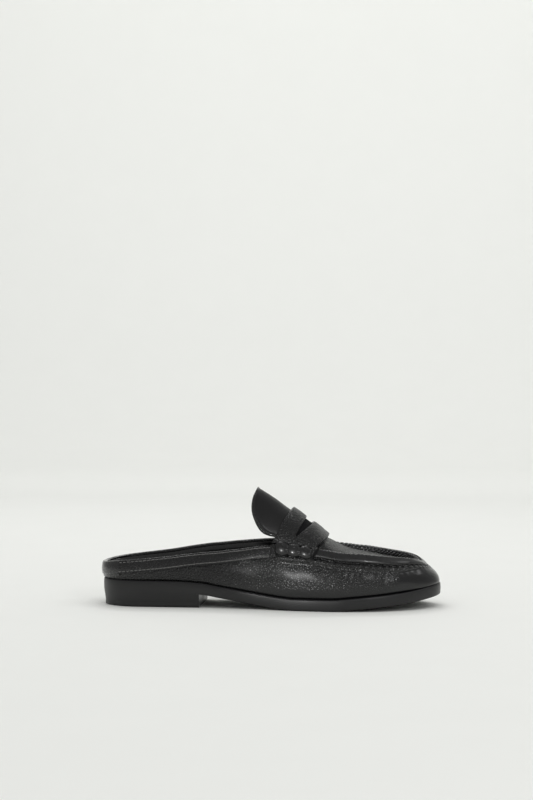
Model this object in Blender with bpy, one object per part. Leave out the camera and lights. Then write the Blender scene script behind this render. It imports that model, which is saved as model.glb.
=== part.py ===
"""Penny-loafer mule: a right shoe standing on its sole.

Metres, Z up. X runs from the heel to the toe, and the wearer's outer side is -Y.
Every piece is worked out from the sole's outline, the side wall and the crown over the instep.
"""
import math

import bpy
from mathutils import Vector

MM = 0.001

# Sole and heel
SOLE_LENGTH = 262 * MM
BALL_WIDTH = 90 * MM
SOLE_THICKNESS = 8.8 * MM
HEEL_LIFT = 11.8 * MM
TOE_SPRING = 9.6 * MM
HEEL_ROUND = 32 * MM
TOE_ROUND = 62 * MM
END_BLUNTNESS = 2.25
HEEL_BREAST = 77.5 * MM
HEEL_TAPER = 1.2 * MM
TOP_PIECE_THICKNESS = 3.8 * MM
EDGE_ROUNDING = 1.0 * MM
WELT_MARGIN = 2.4 * MM
LEAST_MARGIN = 0.15
INSOLE_THICKNESS = 3.0 * MM

# Upper: side wall, moccasin seam and crown
WALL_THICKNESS = 2.0 * MM
SIDE_HEIGHT = 38 * MM
SIDE_LEAN = 11.5 * MM
SIDE_BULGE = 2.6 * MM
SEAM_HEIGHT = 10.4 * MM
SEAM_PROUD = 1.4 * MM
LIP_WIDTH = 2.4 * MM
LIP_HEIGHT = 4.5 * MM
TONGUE_RISE = 46 * MM
TONGUE_FORWARD = 28 * MM
INSTEP_SHIFT = 1.5 * MM
CROWN_FULLNESS = 0.85

# Tongue, saddle and trim, placed along the seam from the back of the heel
TONGUE_BACK = 91.5 * MM
THROAT = 150 * MM
SADDLE_BACK = 130 * MM
SADDLE_FRONT = 165 * MM
SADDLE_THICKNESS = 2.8 * MM
SADDLE_LIFT = 0.7 * MM
SLOT_WIDTH = 6.0 * MM
SLOT_PLACE = 0.42
SLOT_SWAY = 0.045
SLOT_REACH = math.radians(66)
TONGUE_REACH = math.radians(77)
TONGUE_BLUNTNESS = 2.1
SADDLE_REACH = math.radians(87)
ROLL_BACK = 136 * MM
ROLL_FRONT = 163 * MM
ROLL_HEIGHT = 9.6 * MM
ROLL_DEPTH = 5.6 * MM
ROLL_LUMPS = 3
ROLL_WAIST = 0.72
ROLL_DROP = 0.22
ROLL_SLOPE = 0.24
BAND_HEIGHT = 9 * MM
BAND_THICKNESS = 1.2 * MM
TAB_REACH = 16 * MM
TAB_HEIGHT = 11.5 * MM

# Room left between pieces that meet
CLEARANCE = 0.3 * MM

# How finely each form is divided
COLUMNS = 88
CROWN_STEPS = 12
HEEL_STEPS = 14
TONGUE_STEPS = 7
TONGUE_TIP_STEP = math.radians(12)
SADDLE_END_STEPS = 3
SLOT_STEPS = 12
STRAP_STEPS = 2
LUMP_STEPS = 6
ROLL_SIDES = 10
BAND_STEPS = 16
BAND_ROWS = 2
TAB_STEPS = 18
TAB_ROWS = 4

# The small steps over which a form's own directions are measured
TURN_STEP = 0.002
UP_STEP = 0.01
ANGLE_STEP = 0.02
ROLL_STEP = 0.05
TAB_JOINT = 0.003


class Curve:
    """A smooth curve through a column's values that never overshoots them."""

    def __init__(self, places, values):
        self.places = places
        self.values = values
        rises = []
        for index in range(len(places) - 1):
            run = places[index + 1] - places[index]
            rises.append((values[index + 1] - values[index]) / run)
        self.slopes = [rises[0]]
        for before, after in zip(rises, rises[1:]):
            level = before * after <= 0
            self.slopes.append(0.0 if level else 2 * before * after / (before + after))
        self.slopes.append(rises[-1])

    def __call__(self, at):
        at = min(max(at, self.places[0]), self.places[-1])
        index = 0
        while index < len(self.places) - 2 and at > self.places[index + 1]:
            index += 1
        run = self.places[index + 1] - self.places[index]
        t = (at - self.places[index]) / run
        start, end = self.values[index], self.values[index + 1]
        leave, arrive = self.slopes[index] * run, self.slopes[index + 1] * run
        steady = start * (1 + 2 * t) * (1 - t) ** 2 + end * t * t * (3 - 2 * t)
        return steady + leave * t * (1 - t) ** 2 - arrive * t * t * (1 - t)


def table(columns, *rows):
    """A short table of sections. Its first column says where along the form each row stands."""
    places = [row[0] for row in rows]
    names = columns.split()[1:]
    return {name: Curve(places, [row[index + 1] for row in rows]) for index, name in enumerate(names)}


# The outline, along the sole's length, in shares of the ball width
OUTLINE = table(
    "along centre half",
    (0.00, 0.000, 0.313),
    (0.19, -0.006, 0.322),
    (0.29, -0.025, 0.314),
    (0.38, -0.047, 0.320),
    (0.46, -0.058, 0.342),
    (0.53, -0.058, 0.386),
    (0.61, -0.044, 0.440),
    (0.67, -0.028, 0.474),
    (0.73, -0.008, 0.496),
    (0.77, 0.003, 0.494),
    (0.82, 0.012, 0.480),
    (0.88, 0.020, 0.452),
    (1.00, 0.032, 0.402),
)

# The sole's underside: shares of the heel lift and of the toe spring
PROFILE = table(
    "along heel toe",
    (0.00, 1.00, 0.00),
    (0.23, 0.95, 0.00),
    (0.30, 0.86, 0.00),
    (0.35, 0.68, 0.00),
    (0.40, 0.50, 0.00),
    (0.45, 0.33, 0.00),
    (0.50, 0.16, 0.00),
    (0.54, 0.06, 0.00),
    (0.575, 0.00, 0.00),
    (0.68, 0.00, 0.00),
    (0.73, 0.00, 0.10),
    (0.78, 0.00, 0.22),
    (0.83, 0.00, 0.34),
    (0.88, 0.00, 0.48),
    (0.92, 0.00, 0.62),
    (0.96, 0.00, 0.80),
    (1.00, 0.00, 1.00),
)

# The side wall on the outer and inner side: its height, how far its top leans in, its bulge,
# and how much of the moccasin seam and lip it carries
WALL = table(
    "along rise_outer rise_inner lean_outer lean_inner bulge seam drop",
    (0.00, 0.310, 0.310, -0.03, -0.03, 0.30, 0.0, 0.0),
    (0.03, 0.345, 0.350, 0.01, 0.01, 0.35, 0.0, 0.0),
    (0.10, 0.400, 0.410, 0.08, 0.06, 0.45, 0.0, 0.0),
    (0.20, 0.470, 0.510, 0.24, 0.20, 0.60, 0.0, 0.0),
    (0.30, 0.590, 0.660, 0.34, 0.28, 0.50, 0.0, 0.0),
    (0.40, 0.780, 0.850, 0.44, 0.34, 0.45, 0.0, 0.0),
    (0.50, 0.975, 1.010, 0.59, 0.45, 0.68, 0.0, 0.0),
    (0.53, 1.000, 1.040, 0.64, 0.50, 0.78, 1.0, 0.0),
    (0.57, 1.000, 1.040, 0.72, 0.56, 0.95, 1.0, 0.0),
    (0.63, 0.960, 0.990, 0.80, 0.66, 1.00, 1.0, 0.0),
    (0.66, 0.935, 0.960, 0.82, 0.70, 1.00, 1.0, 0.2),
    (0.72, 0.860, 0.880, 0.82, 0.74, 0.95, 1.0, 0.9),
    (0.79, 0.790, 0.800, 0.82, 0.78, 0.85, 1.0, 1.0),
    (0.88, 0.680, 0.685, 0.84, 0.84, 0.75, 1.0, 1.0),
    (0.94, 0.592, 0.592, 0.93, 0.93, 0.35, 1.0, 1.0),
    (0.98, 0.510, 0.510, 1.00, 1.00, 0.10, 1.0, 1.0),
    (1.00, 0.460, 0.460, 1.05, 1.05, 0.00, 1.0, 1.0),
)

# The crown from the tongue's tip to the toe: how far its centre stands above the plug's edge
# and how far ahead of it, as shares of the tongue's own rise and lean
CROWN = table(
    "along rise forward",
    (0.350, 1.000, 1.00),
    (0.420, 0.782, 0.77),
    (0.510, 0.462, 0.49),
    (0.573, 0.272, 0.36),
    (0.635, 0.106, 0.20),
    (0.676, 0.076, 0.11),
    (0.720, 0.070, 0.05),
    (0.763, 0.057, 0.00),
    (0.810, 0.040, 0.00),
    (0.900, 0.022, 0.00),
    (1.000, 0.000, 0.00),
)

# The seam's section, down from the top of the wall: a lip, a stitched groove and a roll below it,
# as shares of the seam's height and of how proud it stands
SEAM_SECTION = (
    (1.00, 0.00),
    (0.88, 0.95),
    (0.74, 0.95),
    (0.64, 0.05),
    (0.54, 0.05),
    (0.46, 0.80),
    (0.10, 0.80),
    (0.00, 0.00),
)
WALL_ROWS = (0.0, 0.22, 0.46, 0.72)

# The lip's section, from the wall's top in to the plug: shares of its width and of its drop
LIP_SECTION = (
    (0.60, 0.00),
    (0.95, 0.35),
)


def round_end(distance, length, power=2.0):
    """The share of full width at a distance from a rounded end: power 2 is an ellipse, more is blunter."""
    if distance >= length:
        return 1.0
    return max(0.0, 1 - (1 - distance / length) ** power) ** (1 / power)


def along_of(turn):
    """Turn 0 is the back of the heel, 0.5 the toe's tip: the share of the sole's length."""
    return (1 - math.cos(2 * math.pi * turn)) / 2


def turn_of(along):
    """The turn on the outer side that stands at a share of the sole's length."""
    return math.acos(1 - 2 * min(max(along, 0.0), 1.0)) / (2 * math.pi)


def outline(turn):
    """A point of the sole's outline, seen from above."""
    turn %= 1.0
    along = along_of(turn)
    side = -1 if turn < 0.5 else 1
    heel_end = round_end(along * SOLE_LENGTH, HEEL_ROUND, END_BLUNTNESS)
    toe_end = round_end((1 - along) * SOLE_LENGTH, TOE_ROUND, END_BLUNTNESS)
    ends = heel_end * toe_end
    across = OUTLINE["centre"](along) + side * OUTLINE["half"](along) * ends
    return Vector((along * SOLE_LENGTH, across * BALL_WIDTH, 0))


def inwards(turn):
    """The level direction that points into the shoe, square to the outline."""
    run = outline(turn + TURN_STEP) - outline(turn - TURN_STEP)
    return Vector((-run.y, run.x, 0)).normalized()


def edge(turn, inset):
    return outline(turn) + inwards(turn) * inset


def sole_under(x):
    along = min(max(x / SOLE_LENGTH, 0.0), 1.0)
    return PROFILE["heel"](along) * HEEL_LIFT + PROFILE["toe"](along) * TOE_SPRING


def sole_top(x):
    return sole_under(x) + SOLE_THICKNESS


def margin(turn):
    """How far the upper's foot stands in from the sole's edge: nothing at the back of the heel."""
    along = along_of(turn % 1.0)
    ahead = min(along * SOLE_LENGTH / HEEL_BREAST, 1.0)
    return WELT_MARGIN * (LEAST_MARGIN + (1 - LEAST_MARGIN) * ahead * ahead * (3 - 2 * ahead))


def side_name(turn):
    return "outer" if turn % 1.0 < 0.5 else "inner"


def wall_height(turn):
    along = along_of(turn % 1.0)
    return WALL["rise_" + side_name(turn)](along) * SIDE_HEIGHT


def wall_base(turn, up):
    """The wall's outer face before any offset. Up is a share of its height."""
    along = along_of(turn % 1.0)
    lean = WALL["lean_" + side_name(turn)](along) * SIDE_LEAN * up * abs(up)
    bulge = WALL["bulge"](along) * SIDE_BULGE * math.sin(math.pi * up)
    point = edge(turn, margin(turn) + lean - bulge)
    point.z = sole_top(point.x) + CLEARANCE + up * wall_height(turn)
    return point


def facing(form, first, second, step_first, step_second):
    """The outward direction of a form at two of its own coordinates."""
    run = form(first + step_first, second) - form(first - step_first, second)
    rise = form(first, second + step_second) - form(first, second - step_second)
    return run.cross(rise).normalized()


def wall_facing(turn, up):
    return facing(wall_base, turn, up, TURN_STEP, UP_STEP)


def wall(turn, up, lift):
    return wall_base(turn, up) + wall_facing(turn, up) * lift


def below_top(turn, distance):
    """The share of the wall's height that lies a distance below its top."""
    return 1 - distance / wall_height(turn)


def down_wall(turn, distance, lift):
    """A point over the wall, a distance down from its top."""
    return wall(turn, below_top(turn, distance), lift)


def lip_drop(turn):
    return WALL["drop"](along_of(turn % 1.0)) * LIP_HEIGHT


def plug_edge(turn):
    """Where the plug meets the inside of the seam's lip."""
    point = wall_base(turn, 1.0) + inwards(turn) * LIP_WIDTH
    point.z -= lip_drop(turn)
    return point


def crown_base(station, angle):
    """The crown over the foot: angle runs from a quarter turn down on the outer side to the inner."""
    turn = turn_of(station)
    outer = plug_edge(turn)
    inner = plug_edge(1 - turn)
    centre = (outer + inner) / 2
    centre.x += CROWN["forward"](station) * TONGUE_FORWARD
    centre.y += INSTEP_SHIFT * CROWN["rise"](station)
    centre.z += CROWN["rise"](station) * TONGUE_RISE
    foot = outer if angle < 0 else inner
    height = math.cos(angle) ** CROWN_FULLNESS
    width = abs(math.sin(angle)) ** CROWN_FULLNESS
    return Vector((
        foot.x + (centre.x - foot.x) * height,
        centre.y + (foot.y - centre.y) * width,
        foot.z + (centre.z - foot.z) * height,
    ))


def crown(station, angle, lift):
    return crown_base(station, angle) + facing(crown_base, station, angle, TURN_STEP, ANGLE_STEP) * lift


def material(name, colour, roughness):
    """A plain finish for one piece."""
    finish = bpy.data.materials.new(name)
    finish.use_nodes = True
    shader = finish.node_tree.nodes["Principled BSDF"]
    shader.inputs["Base Color"].default_value = (*colour, 1)
    shader.inputs["Roughness"].default_value = roughness
    shader.inputs["Metallic"].default_value = 0.0
    return finish


def add_object(name, points, polygons, finish):
    mesh = bpy.data.meshes.new(name)
    mesh.from_pydata(points, [], polygons)
    mesh.validate()
    mesh.shade_smooth()
    mesh.set_sharp_from_angle(angle=math.radians(35))
    mesh.materials.append(finish)
    piece = bpy.data.objects.new(name, mesh)
    bpy.context.scene.collection.objects.link(piece)
    return piece


def plate(name, faces, outside, inside, finish):
    """One closed solid between two skins with the same faces, walled along every free edge."""
    number = {}
    for face in faces:
        for key in face:
            number.setdefault(key, len(number))
    count = len(number)
    points = [outside[key] for key in number] + [inside[key] for key in number]
    polygons = [[number[key] for key in face] for face in faces]
    polygons += [[count + number[key] for key in reversed(face)] for face in faces]
    edges = set()
    for face in faces:
        edges.update(zip(face, face[1:] + face[:1]))
    for start, end in sorted(edges, key=str):
        if (end, start) not in edges:
            polygons.append([number[end], number[start], count + number[start], count + number[end]])
    return add_object(name, points, polygons, finish)


def grid_faces(columns, rows, closed=False):
    """Faces of a grid whose first coordinate runs to the right and second one up, seen from outside."""
    faces = []
    pairs = list(zip(columns, columns[1:]))
    if closed:
        pairs.append((columns[-1], columns[0]))
    for left, right in pairs:
        for low, high in zip(rows, rows[1:]):
            faces.append([(left, low), (right, low), (right, high), (left, high)])
    return faces


def layer(name, columns, rows, place, low, high, finish):
    """A curved plate that lies between two heights over a form."""
    faces = grid_faces(list(range(len(columns))), list(range(len(rows))))
    outside = {}
    inside = {}
    for i, column in enumerate(columns):
        for j, row in enumerate(rows):
            outside[i, j] = place(column, row, high)
            inside[i, j] = place(column, row, low)
    return plate(name, faces, outside, inside, finish)


def spread(start, end, steps):
    return [start + (end - start) * step / steps for step in range(steps + 1)]


def lofted(name, rings, finish):
    """A solid between stacked outlines of an even count, closed at both ends by strips across."""
    count = len(rings[0])
    points = [point for ring in rings for point in ring]
    polygons = []
    for level in range(len(rings) - 1):
        for index in range(count):
            after = (index + 1) % count
            low, high = level * count, (level + 1) * count
            polygons.append([low + index, low + after, high + after, high + index])
    top = (len(rings) - 1) * count
    for near in range(count // 2 - 1):
        far = count - 1 - near
        strip = [near, near + 1, far - 1, far]
        polygons.append(list(reversed(strip)))
        polygons.append([top + corner for corner in strip])
    return add_object(name, points, polygons, finish)


def sole_ring(inset, raised, surface):
    """One level of a sole: the outline, moved in, at a height over a surface of the sole."""
    ring = []
    for index in range(COLUMNS):
        point = edge((index + 0.5) / COLUMNS, inset)
        point.z = surface(point.x) + raised
        ring.append(point)
    return ring


def build_outsole(finish):
    rings = [
        sole_ring(EDGE_ROUNDING, 0, sole_under),
        sole_ring(0, EDGE_ROUNDING, sole_under),
        sole_ring(0, -EDGE_ROUNDING / 2, sole_top),
        sole_ring(EDGE_ROUNDING / 2, 0, sole_top),
    ]
    return lofted("outsole", rings, finish)


def heel_ring(inset, height):
    """One level of the heel, from the breast on the outer side round the back to the inner side."""
    last = turn_of(HEEL_BREAST / SOLE_LENGTH)
    ring = []
    for turn in spread(last, -last, 2 * HEEL_STEPS + 1):
        point = edge(turn, inset)
        point.x = min(point.x, HEEL_BREAST)
        point.z = height(point.x)
        ring.append(point)
    ring.reverse()
    return ring


def build_heel(finish):
    seat = EDGE_ROUNDING / 2
    floor = TOP_PIECE_THICKNESS + CLEARANCE
    rings = [
        heel_ring(HEEL_TAPER, lambda x: floor),
        heel_ring(seat, lambda x: sole_under(x) - CLEARANCE),
    ]
    return lofted("heel", rings, finish)


def build_top_piece(finish):
    rings = [
        heel_ring(HEEL_TAPER + EDGE_ROUNDING / 2, lambda x: 0.0),
        heel_ring(HEEL_TAPER, lambda x: EDGE_ROUNDING / 2),
        heel_ring(HEEL_TAPER, lambda x: TOP_PIECE_THICKNESS),
    ]
    return lofted("top_piece", rings, finish)


def build_insole(finish):
    """The insole fills the foot of the upper, a clearance away from its wall all round."""
    rings = []
    for raised in (CLEARANCE, CLEARANCE + INSOLE_THICKNESS):
        ring = []
        for index in range(COLUMNS):
            turn = (index + 0.5) / COLUMNS
            point = edge(turn, margin(turn) + WALL_THICKNESS + 2 * CLEARANCE)
            point.z = sole_top(point.x) + raised
            ring.append(point)
        rings.append(ring)
    return lofted("insole", rings, finish)


def throat_column():
    """The first column at which the plug joins the walls."""
    return math.ceil(turn_of(THROAT / SOLE_LENGTH) * COLUMNS)


def build_upper(finish):
    """One hollow wall: the sides all round, the lip of the seam, and the plug across the front."""
    outside = {}
    inside = {}
    wall_rows = len(WALL_ROWS)
    rows = list(range(wall_rows + len(SEAM_SECTION)))
    top = rows[-1]
    half = COLUMNS // 2
    first = throat_column()
    for column in range(COLUMNS):
        turn = column / COLUMNS
        in_front = first <= column <= COLUMNS - first
        height = wall_height(turn)
        foot = below_top(turn, SEAM_HEIGHT)
        stand = SEAM_PROUD * WALL["seam"](along_of(turn))
        drop = lip_drop(turn) + WALL_THICKNESS if in_front else 0.0
        for row in rows:
            proud = 0.0
            if row < wall_rows:
                up = WALL_ROWS[row] * foot
            else:
                down, share = SEAM_SECTION[row - wall_rows]
                up = below_top(turn, down * SEAM_HEIGHT)
                proud = share * stand
            outside[column, row] = wall(turn, up, proud)
            inside[column, row] = wall(turn, up * (1 - drop / height), -WALL_THICKNESS)
    faces = grid_faces(list(range(COLUMNS)), rows, closed=True)

    angles = [math.asin(share) for share in spread(-1.0, 1.0, CROWN_STEPS)]
    for column in range(first, half + 1):
        station = along_of(column / COLUMNS)
        for side_column in (column, COLUMNS - column):
            turn = side_column / COLUMNS
            crest = wall_base(turn, 1.0)
            corner = inside[side_column, top]
            plug = plug_edge(turn)
            under = plug - Vector((0, 0, WALL_THICKNESS))
            for index, (across, down) in enumerate(LIP_SECTION):
                point = crest + inwards(turn) * LIP_WIDTH * across
                point.z -= lip_drop(turn) * down
                outside[side_column, "lip", index] = point
                inward = (index + 1) / (len(LIP_SECTION) + 1)
                inside[side_column, "lip", index] = corner.lerp(under, inward)
            outside[side_column, "plug"] = plug
            inside[side_column, "plug"] = under
        for index, angle in enumerate(angles[1:-1]):
            outside[column, "crown", index] = crown_base(station, angle)
            inside[column, "crown", index] = crown(station, angle, -WALL_THICKNESS)

    def strand(column):
        """The keys from the outer wall's top, over the crown, to the inner wall's top."""
        mirror = COLUMNS - column
        keys = [(column, top)]
        keys += [(column, "lip", index) for index in range(len(LIP_SECTION))]
        keys.append((column, "plug"))
        if column < half:
            keys += [(column, "crown", index) for index in range(len(angles) - 2)]
            keys.append((mirror, "plug"))
            keys += [(mirror, "lip", index) for index in reversed(range(len(LIP_SECTION)))]
            keys.append((mirror, top))
        return keys

    for column in range(first, half):
        here = strand(column)
        ahead = strand(column + 1)
        if column + 1 < half:
            for index in range(len(here) - 1):
                faces.append([here[index], ahead[index], ahead[index + 1], here[index + 1]])
            continue
        side = len(ahead) - 1
        for index in range(side):
            faces.append([here[index], ahead[index], ahead[index + 1], here[index + 1]])
            low, high = -1 - index, -2 - index
            faces.append([ahead[index], here[low], here[high], ahead[index + 1]])
        fan = here[side:len(here) - side]
        for start, end in zip(fan, fan[1:]):
            faces.append([start, ahead[side], end])
    return plate("upper", faces, outside, inside, finish)


def tongue_angle(share):
    """How far round the crown the tongue reaches, from its rounded tip forwards."""
    return TONGUE_REACH * round_end(share, 1.0, TONGUE_BLUNTNESS)


def build_tongue(finish):
    """The tongue: a rounded tab on the crown, from its free end to the plug's edge under the saddle."""
    start = TONGUE_BACK / SOLE_LENGTH
    full = SADDLE_BACK / SOLE_LENGTH
    last = along_of(throat_column() / COLUMNS) - 2 * CLEARANCE / SOLE_LENGTH
    shares = [1 - math.cos(step) for step in spread(TONGUE_TIP_STEP, math.pi / 2, TONGUE_STEPS)]
    stations = [start + (full - start) * share for share in shares]
    reaches = [tongue_angle(share) for share in shares]
    stations += [(full + last) / 2, last]
    reaches += [TONGUE_REACH, TONGUE_REACH]
    outside = {}
    inside = {}
    rows = spread(1.0, -1.0, CROWN_STEPS)
    for i, (station, reach) in enumerate(zip(stations, reaches)):
        for j, row in enumerate(rows):
            outside[i, j] = crown(station, -row * reach, 0)
            inside[i, j] = crown(station, -row * reach, -WALL_THICKNESS)
    faces = grid_faces(list(range(len(stations))), list(range(len(rows))))
    return plate("tongue", faces, outside, inside, finish)


def saddle_columns():
    """Angles across the saddle, with one on each end of the slot."""
    ends = spread(-SADDLE_REACH, -SLOT_REACH, SADDLE_END_STEPS)
    middle = spread(-SLOT_REACH, SLOT_REACH, SLOT_STEPS)
    return ends[:-1] + middle + [-angle for angle in reversed(ends[:-1])]


def build_saddle(finish):
    """The penny strap: two bands across the crown that part round a lens-shaped slot."""
    back = SADDLE_BACK / SOLE_LENGTH
    width = (SADDLE_FRONT - SADDLE_BACK) / SOLE_LENGTH
    angles = saddle_columns()
    parted = range(SADDLE_END_STEPS + 1, SADDLE_END_STEPS + SLOT_STEPS)
    outside = {}
    inside = {}
    faces = []

    def key(column, band, row):
        """The bands share one edge wherever the slot is shut."""
        if band == 1 and row == 0 and column not in parted:
            return (column, 0, STRAP_STEPS)
        return (column, band, row)

    for column, angle in enumerate(angles):
        gape = max(0.0, 1 - (angle / SLOT_REACH) ** 2)
        half_slot = gape * SLOT_WIDTH / 2 / (SADDLE_FRONT - SADDLE_BACK)
        middle = SLOT_PLACE + SLOT_SWAY * gape
        for band, (start, end) in enumerate(((0.0, middle - half_slot), (middle + half_slot, 1.0))):
            for row, share in enumerate(spread(start, end, STRAP_STEPS)):
                station = back + width * share
                outside[key(column, band, row)] = crown(station, angle, SADDLE_LIFT + SADDLE_THICKNESS)
                inside[key(column, band, row)] = crown(station, angle, SADDLE_LIFT)
    for column in range(len(angles) - 1):
        for band in range(2):
            for row in range(STRAP_STEPS):
                here = [key(column, band, row), key(column, band, row + 1)]
                ahead = [key(column + 1, band, row + 1), key(column + 1, band, row)]
                faces.append(here + ahead)
    return plate("saddle", faces, outside, inside, finish)


def build_beef_roll(name, mirrored, finish):
    """Padded lumps along the seam, where the saddle's end is sewn down."""
    rings = []
    for share in spread(0.0, 1.0, LUMP_STEPS * ROLL_LUMPS):
        station = (ROLL_BACK + (ROLL_FRONT - ROLL_BACK) * share) / SOLE_LENGTH
        swell = ROLL_WAIST + (1 - ROLL_WAIST) * abs(math.sin(ROLL_LUMPS * math.pi * share))
        turn = turn_of(station)
        if mirrored:
            turn = 1 - turn
        up = below_top(turn, ROLL_HEIGHT * (ROLL_DROP + ROLL_SLOPE * share))
        out = wall_facing(turn, up)
        rise = (wall_base(turn, up) - wall_base(turn, up - ROLL_STEP)).normalized()
        middle = wall(turn, up, ROLL_DEPTH / 2 + SEAM_PROUD + CLEARANCE)
        ring = []
        for side in range(ROLL_SIDES):
            angle = 2 * math.pi * side / ROLL_SIDES
            proud = out * math.cos(angle) * swell * ROLL_DEPTH / 2
            ring.append(middle + proud - rise * math.sin(angle) * swell * ROLL_HEIGHT / 2)
        rings.append(ring)
    if mirrored:
        rings.reverse()
    points = [point for ring in rings for point in ring]
    polygons = []
    for level in range(len(rings) - 1):
        low, high = level * ROLL_SIDES, (level + 1) * ROLL_SIDES
        for side in range(ROLL_SIDES):
            after = (side + 1) % ROLL_SIDES
            polygons.append([low + side, low + after, high + after, high + side])
    last = (len(rings) - 1) * ROLL_SIDES
    polygons.append(list(reversed(range(ROLL_SIDES))))
    polygons.append([last + side for side in range(ROLL_SIDES)])
    return add_object(name, points, polygons, finish)


def build_band(name, mirrored, finish):
    """The facing along the topline, from the back tab to the saddle."""
    start = turn_of(TAB_REACH / SOLE_LENGTH) + TAB_JOINT
    turns = spread(start, turn_of(SADDLE_BACK / SOLE_LENGTH), BAND_STEPS)
    if mirrored:
        turns = [1 - turn for turn in reversed(turns)]
    rows = spread(BAND_HEIGHT, 0.0, BAND_ROWS)
    return layer(name, turns, rows, down_wall, CLEARANCE, CLEARANCE + BAND_THICKNESS, finish)


def build_back_tab(finish):
    """The smooth tab over the back of the heel."""
    reach = turn_of(TAB_REACH / SOLE_LENGTH)
    turns = spread(-reach, reach, TAB_STEPS)
    rows = spread(TAB_HEIGHT, 0.0, TAB_ROWS)
    return layer("back_tab", turns, rows, down_wall, CLEARANCE, CLEARANCE + BAND_THICKNESS, finish)


def stand_on_origin(pieces):
    """Parents every piece to one empty, set so that the middle of the shoe's box is over the origin."""
    shoe = bpy.data.objects.new("shoe", None)
    bpy.context.scene.collection.objects.link(shoe)
    corners = [vertex.co for piece in pieces for vertex in piece.data.vertices]
    for axis in (0, 1):
        values = [corner[axis] for corner in corners]
        shoe.location[axis] = -(min(values) + max(values)) / 2
    for piece in pieces:
        piece.parent = shoe


def main():
    for old in list(bpy.data.objects):
        bpy.data.objects.remove(old, do_unlink=True)
    grained = material("pebbled leather", (0.012, 0.012, 0.013), 0.42)
    smooth = material("smooth leather", (0.014, 0.014, 0.015), 0.36)
    lining = material("lining leather", (0.018, 0.017, 0.017), 0.55)
    rubber = material("sole rubber", (0.013, 0.013, 0.014), 0.50)
    stacked = material("heel block", (0.011, 0.011, 0.012), 0.28)
    pieces = [
        build_outsole(rubber),
        build_heel(stacked),
        build_top_piece(rubber),
        build_insole(lining),
        build_upper(grained),
        build_tongue(smooth),
        build_saddle(smooth),
        build_beef_roll("beef_roll_outer", False, smooth),
        build_beef_roll("beef_roll_inner", True, smooth),
        build_band("collar_band_outer", False, grained),
        build_band("collar_band_inner", True, grained),
        build_back_tab(smooth),
    ]
    stand_on_origin(pieces)


main()
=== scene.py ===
"""The looks of a black loafer mule in pebbled leather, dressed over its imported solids.

Metres, Z up. X runs from the heel to the toe, and the wearer's outer side is -Y.
Turn 0 is the back of the heel, and turn 0.5 the tip of the toe, reached along the outer side.
"""
import math

import bmesh
import bpy
import numpy as np
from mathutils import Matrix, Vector


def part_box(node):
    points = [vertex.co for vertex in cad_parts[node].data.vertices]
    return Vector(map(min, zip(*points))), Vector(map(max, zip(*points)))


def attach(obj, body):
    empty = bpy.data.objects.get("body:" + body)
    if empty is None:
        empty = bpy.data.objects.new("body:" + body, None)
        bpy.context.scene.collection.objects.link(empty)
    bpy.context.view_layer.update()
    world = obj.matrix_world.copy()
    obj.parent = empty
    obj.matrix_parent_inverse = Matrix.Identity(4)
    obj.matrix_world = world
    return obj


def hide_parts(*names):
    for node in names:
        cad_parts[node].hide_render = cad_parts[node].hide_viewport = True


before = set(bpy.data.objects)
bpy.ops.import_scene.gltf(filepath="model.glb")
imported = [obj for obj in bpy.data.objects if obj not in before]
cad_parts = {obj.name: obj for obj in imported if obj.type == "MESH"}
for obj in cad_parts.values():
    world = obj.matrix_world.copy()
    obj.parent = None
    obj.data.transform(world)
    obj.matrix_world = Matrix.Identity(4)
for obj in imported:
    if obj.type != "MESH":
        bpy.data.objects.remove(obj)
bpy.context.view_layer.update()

MM = 0.001

# The lasted form, as the solids have it
SOLE_LENGTH = 262 * MM
BALL_WIDTH = 90 * MM
SOLE_THICKNESS = 8.8 * MM
EDGE_ROUND = 1.1 * MM
HEEL_LIFT = 11.8 * MM
TOE_SPRING = 9.6 * MM
HEEL_ROUND = 32 * MM
TOE_ROUND = 62 * MM
END_BLUNTNESS = 2.25
HEEL_BREAST = 77.5 * MM
HEEL_TAPER = 1.2 * MM
TOP_PIECE = 3.8 * MM
WELT_MARGIN = 2.4 * MM
LEATHER = 2.0 * MM
SIDE_HEIGHT = 38 * MM
SIDE_LEAN = 11.5 * MM
SIDE_BULGE = 2.6 * MM
SEAM_HEIGHT = 10.4 * MM
LIP_WIDTH = 2.4 * MM
LIP_HEIGHT = 4.5 * MM
TONGUE_RISE = 46 * MM
TONGUE_FORWARD = 28 * MM
INSTEP_SHIFT = 1.5 * MM
CROWN_FULLNESS = 0.85
CLEARANCE = 0.3 * MM

# Where the trim stands, along the sole from the back of the heel
TONGUE_BACK = 91.5 * MM
THROAT = 150 * MM
SADDLE_BACK = 130 * MM
SADDLE_FRONT = 165 * MM
SADDLE_TOP = 3.7 * MM
SADDLE_SAG = 2.2 * MM
SLOT_PLACE = 0.425
SLOT_WIDTH = 6.6 * MM
SLOT_REACH = math.radians(66)
TONGUE_REACH = math.radians(77)
TONGUE_BLUNTNESS = 2.1
TONGUE_FLARE = 0.035
SADDLE_REACH = math.radians(87)
ROLL_BACK = 136 * MM
ROLL_FRONT = 163 * MM
TAB_REACH = 16 * MM
PAD_END = 0.52
PLUG_END = 0.4995
TOE_TRIM = 1.5 * MM
TOE_LEAN = 2.2 * MM


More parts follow.
